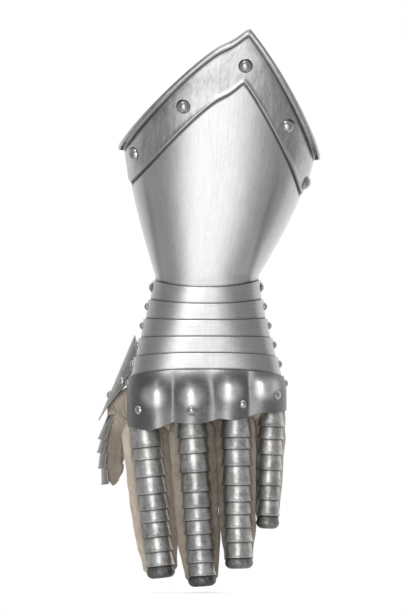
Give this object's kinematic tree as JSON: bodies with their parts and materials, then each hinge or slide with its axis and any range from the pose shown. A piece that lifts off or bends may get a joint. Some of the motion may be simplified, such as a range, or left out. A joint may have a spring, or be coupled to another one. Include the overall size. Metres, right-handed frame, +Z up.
{
  "type": "gauntlet",
  "caption": "Left-hand plate gauntlet with a flared pointed cuff, articulated wrist lames, embossed knuckle plate, lamed fingers and thumb, and a leather glove inside.",
  "frame": {"origin": "middle of the wrist, 2 mm above the rivets that the first wrist lame turns on", "axes": "+Z up the forearm, -Y out of the back of the hand, -X towards the thumb"},
  "size_m": [0.159, 0.1405, 0.3962],
  "materials": {
    "cuff_steel": "satin, brushed along the arm on the cuff and round the wrist on the lames",
    "knuckle_steel": "darker, polished on the knuckles",
    "thumb_steel": "satin, worn",
    "finger_steel": "worn and scratched",
    "tip_steel": "dark and matt",
    "rivets": "domed, satin",
    "suede": "cream suede with brown shade in its folds"
  },
  "bodies": {
    "cuff": {"cuff_plate": "cuff_steel", "cuff_border": "cuff_steel", "cuff_rivets": "rivets"},
    "wrist_1": {"wrist_lame_1": "cuff_steel", "lame_1_pivots": "rivets"},
    "wrist_2": {"wrist_lame_2": "cuff_steel"},
    "wrist_3": {"wrist_lame_3": "cuff_steel", "lame_3_pivots": "rivets"},
    "wrist_4": {"wrist_lame_4": "cuff_steel"},
    "wrist_5": {"wrist_lame_5": "cuff_steel", "lame_5_pivots": "rivets"},
    "hand": {"knuckle_plate": "knuckle_steel", "knuckle_rivets": "rivets", "glove_hand": "suede", "glove_fingers": "suede"},
    "thumb": {"thumb_plate": "thumb_steel", "thumb_rivets": "rivets"},
    "thumb_1": {"thumb_lame_1": "thumb_steel"},
    "thumb_2": {"thumb_lame_2": "thumb_steel"},
    "thumb_3": {"thumb_lame_3": "thumb_steel"},
    "thumb_4": {"thumb_lame_4": "thumb_steel"},
    "index_1": {"index_lame_1": "finger_steel"},
    "index_2": {"index_lame_2": "finger_steel"},
    "index_3": {"index_lame_3": "finger_steel"},
    "index_4": {"index_lame_4": "finger_steel"},
    "index_5": {"index_lame_5": "finger_steel"},
    "index_6": {"index_lame_6": "finger_steel"},
    "index_7": {"index_lame_7": "finger_steel"},
    "index_8": {"index_lame_8": "finger_steel"},
    "index_9": {"index_lame_9": "finger_steel"},
    "index_10": {"index_lame_10": "tip_steel"},
    "middle_1": {"middle_lame_1": "finger_steel"},
    "middle_2": {"middle_lame_2": "finger_steel"},
    "middle_3": {"middle_lame_3": "finger_steel"},
    "middle_4": {"middle_lame_4": "finger_steel"},
    "middle_5": {"middle_lame_5": "finger_steel"},
    "middle_6": {"middle_lame_6": "finger_steel"},
    "middle_7": {"middle_lame_7": "finger_steel"},
    "middle_8": {"middle_lame_8": "finger_steel"},
    "middle_9": {"middle_lame_9": "finger_steel"},
    "middle_10": {"middle_lame_10": "finger_steel"},
    "middle_11": {"middle_lame_11": "tip_steel"},
    "ring_1": {"ring_lame_1": "finger_steel"},
    "ring_2": {"ring_lame_2": "finger_steel"},
    "ring_3": {"ring_lame_3": "finger_steel"},
    "ring_4": {"ring_lame_4": "finger_steel"},
    "ring_5": {"ring_lame_5": "finger_steel"},
    "ring_6": {"ring_lame_6": "finger_steel"},
    "ring_7": {"ring_lame_7": "finger_steel"},
    "ring_8": {"ring_lame_8": "finger_steel"},
    "ring_9": {"ring_lame_9": "finger_steel"},
    "ring_10": {"ring_lame_10": "tip_steel"},
    "little_1": {"little_lame_1": "finger_steel"},
    "little_2": {"little_lame_2": "finger_steel"},
    "little_3": {"little_lame_3": "finger_steel"},
    "little_4": {"little_lame_4": "finger_steel"},
    "little_5": {"little_lame_5": "finger_steel"},
    "little_6": {"little_lame_6": "finger_steel"},
    "little_7": {"little_lame_7": "finger_steel"},
    "little_8": {"little_lame_8": "tip_steel"}
  },
  "joints": [
    {"name": "wrist_flex", "type": "hinge", "parent": "cuff", "child": "wrist_1", "pos_m": [0, -0.004, -0.002], "axis": [1, 0, 0], "range_deg": [-1.5, 5], "deforming": ["glove_hand"]},
    {"name": "wrist_flex_2", "type": "hinge", "parent": "wrist_1", "child": "wrist_2", "pos_m": [0, -0.004, -0.0157], "axis": [1, 0, 0], "range_deg": [-1.5, 5]},
    {"name": "wrist_flex_3", "type": "hinge", "parent": "wrist_2", "child": "wrist_3", "pos_m": [0, -0.004, -0.0294], "axis": [1, 0, 0], "range_deg": [-1.5, 5]},
    {"name": "wrist_flex_4", "type": "hinge", "parent": "wrist_3", "child": "wrist_4", "pos_m": [0, -0.004, -0.0431], "axis": [1, 0, 0], "range_deg": [-1.5, 5]},
    {"name": "wrist_flex_5", "type": "hinge", "parent": "wrist_4", "child": "wrist_5", "pos_m": [0, -0.004, -0.0568], "axis": [1, 0, 0], "range_deg": [-1.5, 5]},
    {"name": "wrist_flex_6", "type": "hinge", "parent": "wrist_5", "child": "hand", "pos_m": [0, -0.004, -0.0705], "axis": [1, 0, 0], "range_deg": [-1.5, 5]},
    {"name": "index_curl", "type": "hinge", "parent": "hand", "child": "index_1", "pos_m": [-0.04519, -0.01875, -0.09305], "axis": [0.994, 0, 0.1097], "range_deg": [0, 8], "deforming": ["glove_fingers"]},
    {"name": "index_curl_2", "type": "hinge", "parent": "index_1", "child": "index_2", "pos_m": [-0.04309, -0.01904, -0.11204], "axis": [0.994, 0, 0.1097], "range_deg": [0, 8]},
    {"name": "index_curl_3", "type": "hinge", "parent": "index_2", "child": "index_3", "pos_m": [-0.04213, -0.01906, -0.12079], "axis": [0.994, 0, 0.1097], "range_deg": [0, 8]},
    {"name": "index_curl_4", "type": "hinge", "parent": "index_3", "child": "index_4", "pos_m": [-0.04077, -0.01891, -0.13311], "axis": [0.994, 0, 0.1097], "range_deg": [0, 8]},
    {"name": "index_curl_5", "type": "hinge", "parent": "index_4", "child": "index_5", "pos_m": [-0.0394, -0.01874, -0.14544], "axis": [0.994, 0, 0.1097], "range_deg": [0, 8]},
    {"name": "index_curl_6", "type": "hinge", "parent": "index_5", "child": "index_6", "pos_m": [-0.03815, -0.0185, -0.15677], "axis": [0.994, 0, 0.1097], "range_deg": [0, 8]},
    {"name": "index_curl_7", "type": "hinge", "parent": "index_6", "child": "index_7", "pos_m": [-0.03719, -0.01847, -0.16551], "axis": [0.994, 0, 0.1097], "range_deg": [0, 8]},
    {"name": "index_curl_8", "type": "hinge", "parent": "index_7", "child": "index_8", "pos_m": [-0.03602, -0.01834, -0.17605], "axis": [0.994, 0, 0.1097], "range_deg": [0, 8]},
    {"name": "index_curl_9", "type": "hinge", "parent": "index_8", "child": "index_9", "pos_m": [-0.03486, -0.01821, -0.18659], "axis": [0.994, 0, 0.1097], "range_deg": [0, 8]},
    {"name": "index_curl_10", "type": "hinge", "parent": "index_9", "child": "index_10", "pos_m": [-0.03372, -0.01802, -0.19692], "axis": [0.994, 0, 0.1097], "range_deg": [0, 8]},
    {"name": "middle_curl", "type": "hinge", "parent": "hand", "child": "middle_1", "pos_m": [-0.0114, -0.02935, -0.09102], "axis": [0.9978, 0, 0.0663], "range_deg": [0, 8], "deforming": ["glove_fingers"]},
    {"name": "middle_curl_2", "type": "hinge", "parent": "middle_1", "child": "middle_2", "pos_m": [-0.01045, -0.03028, -0.10529], "axis": [0.9978, 0, 0.0663], "range_deg": [0, 8]},
    {"name": "middle_curl_3", "type": "hinge", "parent": "middle_2", "child": "middle_3", "pos_m": [-0.00972, -0.03022, -0.11626], "axis": [0.9978, 0, 0.0663], "range_deg": [0, 8]},
    {"name": "middle_curl_4", "type": "hinge", "parent": "middle_3", "child": "middle_4", "pos_m": [-0.00882, -0.03007, -0.12983], "axis": [0.9978, 0, 0.0663], "range_deg": [0, 8]},
    {"name": "middle_curl_5", "type": "hinge", "parent": "middle_4", "child": "middle_5", "pos_m": [-0.00789, -0.02985, -0.1438], "axis": [0.9978, 0, 0.0663], "range_deg": [0, 8]},
    {"name": "middle_curl_6", "type": "hinge", "parent": "middle_5", "child": "middle_6", "pos_m": [-0.00715, -0.02963, -0.15498], "axis": [0.9978, 0, 0.0663], "range_deg": [0, 8]},
    {"name": "middle_curl_7", "type": "hinge", "parent": "middle_6", "child": "middle_7", "pos_m": [-0.00655, -0.02958, -0.16396], "axis": [0.9978, 0, 0.0663], "range_deg": [0, 8]},
    {"name": "middle_curl_8", "type": "hinge", "parent": "middle_7", "child": "middle_8", "pos_m": [-0.00589, -0.0295, -0.17394], "axis": [0.9978, 0, 0.0663], "range_deg": [0, 8]},
    {"name": "middle_curl_9", "type": "hinge", "parent": "middle_8", "child": "middle_9", "pos_m": [-0.00517, -0.02932, -0.18471], "axis": [0.9978, 0, 0.0663], "range_deg": [0, 8]},
    {"name": "middle_curl_10", "type": "hinge", "parent": "middle_9", "child": "middle_10", "pos_m": [-0.00455, -0.02922, -0.19409], "axis": [0.9978, 0, 0.0663], "range_deg": [0, 8]},
    {"name": "middle_curl_11", "type": "hinge", "parent": "middle_10", "child": "middle_11", "pos_m": [-0.00391, -0.02902, -0.20367], "axis": [0.9978, 0, 0.0663], "range_deg": [0, 8]},
    {"name": "ring_curl", "type": "hinge", "parent": "hand", "child": "ring_1", "pos_m": [0.0204, -0.02884, -0.0885], "axis": [0.9997, 0, 0.0227], "range_deg": [0, 8], "deforming": ["glove_fingers"]},
    {"name": "ring_curl_2", "type": "hinge", "parent": "ring_1", "child": "ring_2", "pos_m": [0.02077, -0.02936, -0.1048], "axis": [0.9997, 0, 0.0227], "range_deg": [0, 8]},
    {"name": "ring_curl_3", "type": "hinge", "parent": "ring_2", "child": "ring_3", "pos_m": [0.02096, -0.0294, -0.1132], "axis": [0.9997, 0, 0.0227], "range_deg": [0, 8]},
    {"name": "ring_curl_4", "type": "hinge", "parent": "ring_3", "child": "ring_4", "pos_m": [0.02123, -0.02929, -0.12519], "axis": [0.9997, 0, 0.0227], "range_deg": [0, 8]},
    {"name": "ring_curl_5", "type": "hinge", "parent": "ring_4", "child": "ring_5", "pos_m": [0.02154, -0.02908, -0.13899], "axis": [0.9997, 0, 0.0227], "range_deg": [0, 8]},
    {"name": "ring_curl_6", "type": "hinge", "parent": "ring_5", "child": "ring_6", "pos_m": [0.02181, -0.02883, -0.15079], "axis": [0.9997, 0, 0.0227], "range_deg": [0, 8]},
    {"name": "ring_curl_7", "type": "hinge", "parent": "ring_6", "child": "ring_7", "pos_m": [0.02201, -0.02874, -0.15978], "axis": [0.9997, 0, 0.0227], "range_deg": [0, 8]},
    {"name": "ring_curl_8", "type": "hinge", "parent": "ring_7", "child": "ring_8", "pos_m": [0.02223, -0.02865, -0.16938], "axis": [0.9997, 0, 0.0227], "range_deg": [0, 8]},
    {"name": "ring_curl_9", "type": "hinge", "parent": "ring_8", "child": "ring_9", "pos_m": [0.02246, -0.02856, -0.17958], "axis": [0.9997, 0, 0.0227], "range_deg": [0, 8]},
    {"name": "ring_curl_10", "type": "hinge", "parent": "ring_9", "child": "ring_10", "pos_m": [0.02272, -0.02827, -0.19098], "axis": [0.9997, 0, 0.0227], "range_deg": [0, 8]},
    {"name": "little_curl", "type": "hinge", "parent": "hand", "child": "little_1", "pos_m": [0.04631, -0.01769, -0.08301], "axis": [0.9994, 0, -0.0349], "range_deg": [0, 8], "deforming": ["glove_fingers"]},
    {"name": "little_curl_2", "type": "hinge", "parent": "little_1", "child": "little_2", "pos_m": [0.04582, -0.0185, -0.0973], "axis": [0.9994, 0, -0.0349], "range_deg": [0, 8]},
    {"name": "little_curl_3", "type": "hinge", "parent": "little_2", "child": "little_3", "pos_m": [0.0455, -0.01843, -0.10629], "axis": [0.9994, 0, -0.0349], "range_deg": [0, 8]},
    {"name": "little_curl_4", "type": "hinge", "parent": "little_3", "child": "little_4", "pos_m": [0.04512, -0.01826, -0.11729], "axis": [0.9994, 0, -0.0349], "range_deg": [0, 8]},
    {"name": "little_curl_5", "type": "hinge", "parent": "little_4", "child": "little_5", "pos_m": [0.04473, -0.01809, -0.12828], "axis": [0.9994, 0, -0.0349], "range_deg": [0, 8]},
    {"name": "little_curl_6", "type": "hinge", "parent": "little_5", "child": "little_6", "pos_m": [0.04435, -0.0179, -0.13927], "axis": [0.9994, 0, -0.0349], "range_deg": [0, 8]},
    {"name": "little_curl_7", "type": "hinge", "parent": "little_6", "child": "little_7", "pos_m": [0.04399, -0.01776, -0.14966], "axis": [0.9994, 0, -0.0349], "range_deg": [0, 8]},
    {"name": "little_curl_8", "type": "hinge", "parent": "little_7", "child": "little_8", "pos_m": [0.04359, -0.01752, -0.16106], "axis": [0.9994, 0, -0.0349], "range_deg": [0, 8]},
    {"name": "thumb_swing", "type": "hinge", "parent": "hand", "child": "thumb", "pos_m": [-0.061, 0.01, -0.069], "axis": [-1, 0, 0], "range_deg": [-6, 0], "deforming": ["glove_hand"]},
    {"name": "thumb_curl", "type": "hinge", "parent": "thumb", "child": "thumb_1", "pos_m": [-0.06948, 0.02, -0.09192], "axis": [0, -1, 0], "range_deg": [0, 8], "deforming": ["glove_hand"]},
    {"name": "thumb_curl_2", "type": "hinge", "parent": "thumb_1", "child": "thumb_2", "pos_m": [-0.07419, 0.02, -0.10773], "axis": [0, -1, 0], "range_deg": [0, 8]},
    {"name": "thumb_curl_3", "type": "hinge", "parent": "thumb_2", "child": "thumb_3", "pos_m": [-0.07525, 0.02, -0.11708], "axis": [0, -1, 0], "range_deg": [0, 8]},
    {"name": "thumb_curl_4", "type": "hinge", "parent": "thumb_3", "child": "thumb_4", "pos_m": [-0.07493, 0.02, -0.12808], "axis": [0, -1, 0], "range_deg": [0, 8]}
  ],
  "couplings": [
    {"joint": "wrist_flex_2", "follows": "wrist_flex", "ratio": 1},
    {"joint": "wrist_flex_3", "follows": "wrist_flex", "ratio": 1},
    {"joint": "wrist_flex_4", "follows": "wrist_flex", "ratio": 1},
    {"joint": "wrist_flex_5", "follows": "wrist_flex", "ratio": 1},
    {"joint": "wrist_flex_6", "follows": "wrist_flex", "ratio": 1},
    {"joint": "index_curl_2", "follows": "index_curl", "ratio": 1},
    {"joint": "index_curl_3", "follows": "index_curl", "ratio": 1},
    {"joint": "index_curl_4", "follows": "index_curl", "ratio": 1},
    {"joint": "index_curl_5", "follows": "index_curl", "ratio": 1},
    {"joint": "index_curl_6", "follows": "index_curl", "ratio": 1},
    {"joint": "index_curl_7", "follows": "index_curl", "ratio": 1},
    {"joint": "index_curl_8", "follows": "index_curl", "ratio": 1},
    {"joint": "index_curl_9", "follows": "index_curl", "ratio": 1},
    {"joint": "index_curl_10", "follows": "index_curl", "ratio": 1},
    {"joint": "middle_curl_2", "follows": "middle_curl", "ratio": 1},
    {"joint": "middle_curl_3", "follows": "middle_curl", "ratio": 1},
    {"joint": "middle_curl_4", "follows": "middle_curl", "ratio": 1},
    {"joint": "middle_curl_5", "follows": "middle_curl", "ratio": 1},
    {"joint": "middle_curl_6", "follows": "middle_curl", "ratio": 1},
    {"joint": "middle_curl_7", "follows": "middle_curl", "ratio": 1},
    {"joint": "middle_curl_8", "follows": "middle_curl", "ratio": 1},
    {"joint": "middle_curl_9", "follows": "middle_curl", "ratio": 1},
    {"joint": "middle_curl_10", "follows": "middle_curl", "ratio": 1},
    {"joint": "middle_curl_11", "follows": "middle_curl", "ratio": 1},
    {"joint": "ring_curl_2", "follows": "ring_curl", "ratio": 1},
    {"joint": "ring_curl_3", "follows": "ring_curl", "ratio": 1},
    {"joint": "ring_curl_4", "follows": "ring_curl", "ratio": 1},
    {"joint": "ring_curl_5", "follows": "ring_curl", "ratio": 1},
    {"joint": "ring_curl_6", "follows": "ring_curl", "ratio": 1},
    {"joint": "ring_curl_7", "follows": "ring_curl", "ratio": 1},
    {"joint": "ring_curl_8", "follows": "ring_curl", "ratio": 1},
    {"joint": "ring_curl_9", "follows": "ring_curl", "ratio": 1},
    {"joint": "ring_curl_10", "follows": "ring_curl", "ratio": 1},
    {"joint": "little_curl_2", "follows": "little_curl", "ratio": 1},
    {"joint": "little_curl_3", "follows": "little_curl", "ratio": 1},
    {"joint": "little_curl_4", "follows": "little_curl", "ratio": 1},
    {"joint": "little_curl_5", "follows": "little_curl", "ratio": 1},
    {"joint": "little_curl_6", "follows": "little_curl", "ratio": 1},
    {"joint": "little_curl_7", "follows": "little_curl", "ratio": 1},
    {"joint": "little_curl_8", "follows": "little_curl", "ratio": 1},
    {"joint": "thumb_curl_2", "follows": "thumb_curl", "ratio": 1},
    {"joint": "thumb_curl_3", "follows": "thumb_curl", "ratio": 1},
    {"joint": "thumb_curl_4", "follows": "thumb_curl", "ratio": 1}
  ]
}
